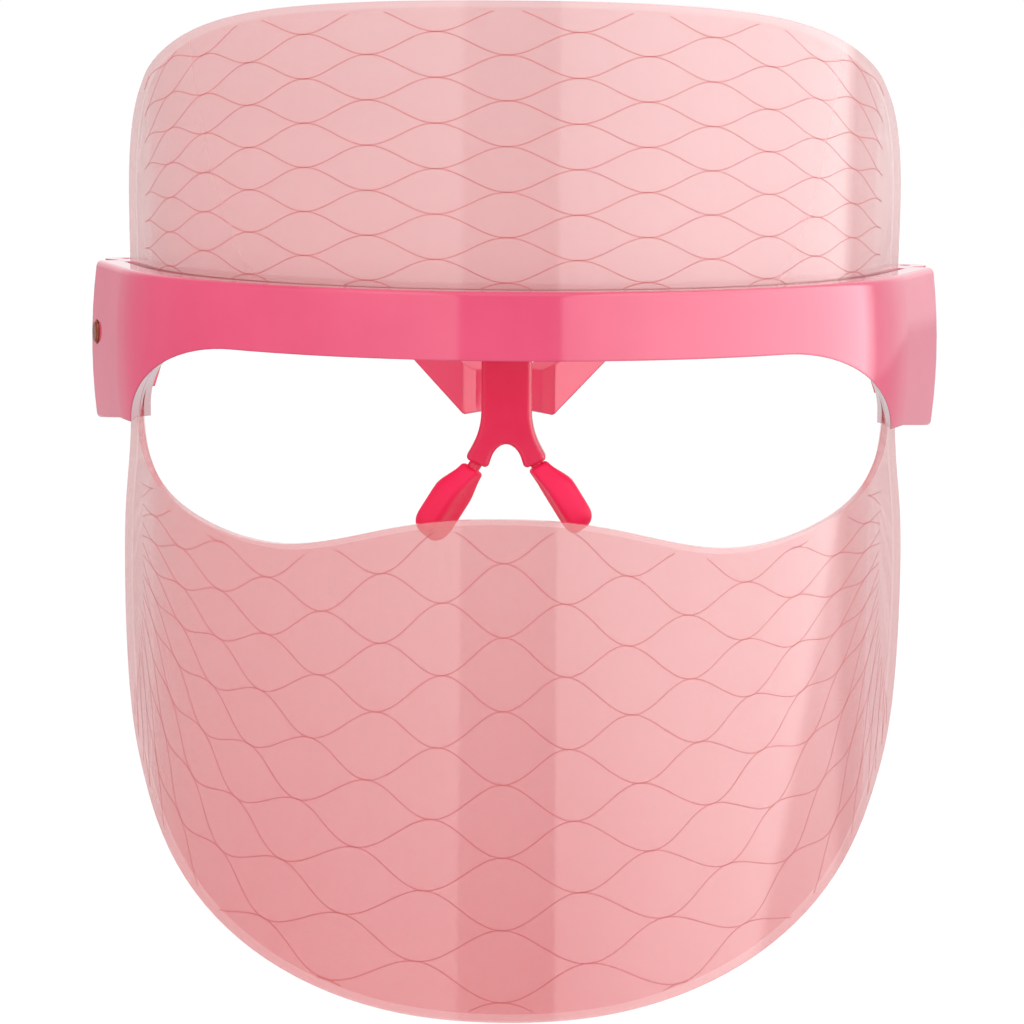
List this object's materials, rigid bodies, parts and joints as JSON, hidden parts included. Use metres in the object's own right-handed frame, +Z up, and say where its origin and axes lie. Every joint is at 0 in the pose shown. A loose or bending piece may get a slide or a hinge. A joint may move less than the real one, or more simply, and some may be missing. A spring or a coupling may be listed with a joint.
{
  "type": "light therapy face shield",
  "caption": "Wrap-around see-through face shield on a glasses-style bar with folding temple arms, Y-shaped nose bridge and soft nose pads.",
  "frame": {"origin": "the nose rest: midway between the two nose pads, where the bridge of the nose sits", "axes": "+Z up along the shield's height, +Y from the shield's front towards the wearer's head, +X towards the side that is on the right seen from the front"},
  "size_m": [0.1822, 0.0927, 0.2025],
  "materials": {
    "clear_pink_panel": "polished see-through tinted polycarbonate with a fine printed net of wavy lines",
    "guide_film": "thin see-through light guide film",
    "pink_shell": "glossy injection-moulded pink",
    "deep_pink_plastic": "glossy, slightly see-through deep pink",
    "silicone": "soft satin hot-pink silicone",
    "pink_arm": "glossy, slightly see-through pink",
    "steel": "plated steel",
    "copper_button": "metallised copper-brown",
    "switch_metal": "plated",
    "circuit_board": "solder mask",
    "chip_resin": "moulded resin",
    "cell_foil": "pouch foil",
    "foam": "closed-cell foam tape",
    "wire": "insulated wire",
    "led_resin": "clear resin"
  },
  "bodies": {
    "shield": {"visor_panel": "clear_pink_panel", "light_guide_film": "guide_film", "front_cover": "pink_shell", "rear_cover": "pink_shell", "nose_bridge": "deep_pink_plastic", "hinge_pin_left": "steel", "hinge_pin_right": "steel", "power_switch": "switch_metal", "button_board": "circuit_board", "main_board": "circuit_board", "controller_chip": "chip_resin", "charging_socket": "switch_metal", "battery": "cell_foil", "battery_foam": "foam", "battery_leads": "wire", "side_leads": "wire", "upper_led_board": "circuit_board", "upper_leds": "led_resin", "side_led_board_left": "circuit_board", "side_led_board_right": "circuit_board", "side_leds_left": "led_resin", "side_leds_right": "led_resin", "cover_screws": "steel", "bridge_screws": "steel"},
    "arm_left": {"temple_arm_left": "pink_arm"},
    "arm_right": {"temple_arm_right": "pink_arm"},
    "button": {"power_button": "copper_button"},
    "pad_left": {"nose_pad_left": "silicone"},
    "pad_right": {"nose_pad_right": "silicone"}
  },
  "joints": [
    {"name": "arm_left_fold", "type": "hinge", "parent": "shield", "child": "arm_left", "pos_m": [-0.0845, 0.064, 0.0275], "axis": [0, 0, 1], "range_deg": [0, 123]},
    {"name": "arm_right_fold", "type": "hinge", "parent": "shield", "child": "arm_right", "pos_m": [0.0845, 0.064, 0.0275], "axis": [0, 0, -1], "range_deg": [0, 123]},
    {"name": "button_press", "type": "slide", "parent": "shield", "child": "button", "axis": [0.9397, 0.342, 0], "range_m": [0, 0.0005], "stiffness_N_per_m": 1500},
    {"name": "pad_left_swivel", "type": "hinge", "parent": "shield", "child": "pad_left", "pos_m": [-0.00595, -0.0058, 0.0082], "axis": [-0.5299, 0, -0.848], "range_deg": [-20, 20]},
    {"name": "pad_right_swivel", "type": "hinge", "parent": "shield", "child": "pad_right", "pos_m": [0.00595, -0.0058, 0.0082], "axis": [0.5299, 0, -0.848], "range_deg": [-20, 20]}
  ]
}
